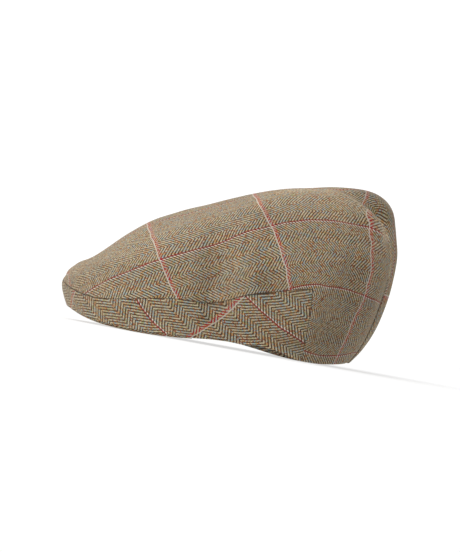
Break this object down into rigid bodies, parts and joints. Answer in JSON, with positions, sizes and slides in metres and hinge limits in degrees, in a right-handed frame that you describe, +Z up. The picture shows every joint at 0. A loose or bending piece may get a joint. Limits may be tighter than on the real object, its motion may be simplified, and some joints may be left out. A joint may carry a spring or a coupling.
{
  "type": "flat cap",
  "caption": "Tweed flat cap with a full rear crown, a bias side band and a short covered peak, resting on its rim; herringbone with a red and cream overcheck.",
  "frame": {"origin": "middle of the cap seen from above, on the surface it rests on", "axes": "+Z up, the peak points toward -Y, the wearer's left is +X"},
  "size_m": [0.1778, 0.2717, 0.1499],
  "materials": {
    "tweed_top": "matte wool tweed",
    "tweed_side_panel_left": "matte wool tweed cut on the bias",
    "tweed_side_panel_right": "matte wool tweed cut on the bias",
    "tweed_peak": "matte wool tweed over a board",
    "sweatband_cloth": "dark woven band"
  },
  "bodies": {
    "root": {"crown_top": "tweed_top", "side_panel_left": "tweed_side_panel_left", "side_panel_right": "tweed_side_panel_right", "peak": "tweed_peak", "sweatband": "sweatband_cloth"}
  },
  "joints": []
}
